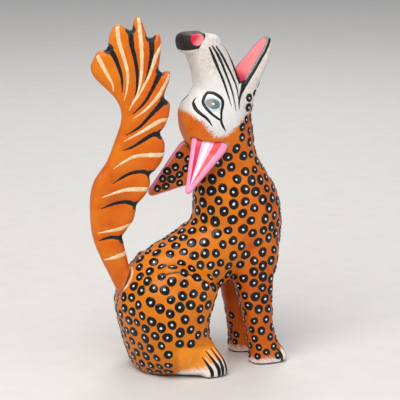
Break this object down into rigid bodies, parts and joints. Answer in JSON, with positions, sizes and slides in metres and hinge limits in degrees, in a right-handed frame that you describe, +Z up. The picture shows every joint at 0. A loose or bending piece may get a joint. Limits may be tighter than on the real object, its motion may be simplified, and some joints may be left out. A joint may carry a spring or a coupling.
{
  "type": "alebrije figure",
  "caption": "Seated howling coyote carved in light wood and painted with dots and stripes, with a fluted tail and two pointed ears that plug in on wooden pegs.",
  "frame": {"origin": "middle of the figure's box in X and Y, on the plane it sits on", "axes": "+Z up, +X the way the coyote faces, +Y its left side"},
  "size_m": [0.0911, 0.0516, 0.1618],
  "materials": {
    "painted_wood": "hand-painted acrylic over carved copal, satin",
    "tail_paint": "hand-painted acrylic over carved copal, satin",
    "ear_paint": "hand-painted acrylic over carved copal, satin",
    "bare_wood": "bare whittled wood, matte"
  },
  "bodies": {
    "figure": {"body": "painted_wood"},
    "tail_unit": {"tail": "tail_paint", "tail_peg": "bare_wood"},
    "right_ear_unit": {"ear_right": "ear_paint", "ear_peg_right": "bare_wood"},
    "left_ear_unit": {"ear_left": "ear_paint", "ear_peg_left": "bare_wood"}
  },
  "joints": [
    {"name": "tail_pull", "type": "slide", "parent": "figure", "child": "tail_unit", "axis": [-0.5855, 0.1902, 0.788], "range_m": [0, 0.016]},
    {"name": "ear_right_pull", "type": "slide", "parent": "figure", "child": "right_ear_unit", "axis": [-0.5632, -0.2756, -0.779], "range_m": [0, 0.014]},
    {"name": "ear_left_pull", "type": "slide", "parent": "figure", "child": "left_ear_unit", "axis": [-0.7801, 0.224, -0.5841], "range_m": [0, 0.018]}
  ]
}
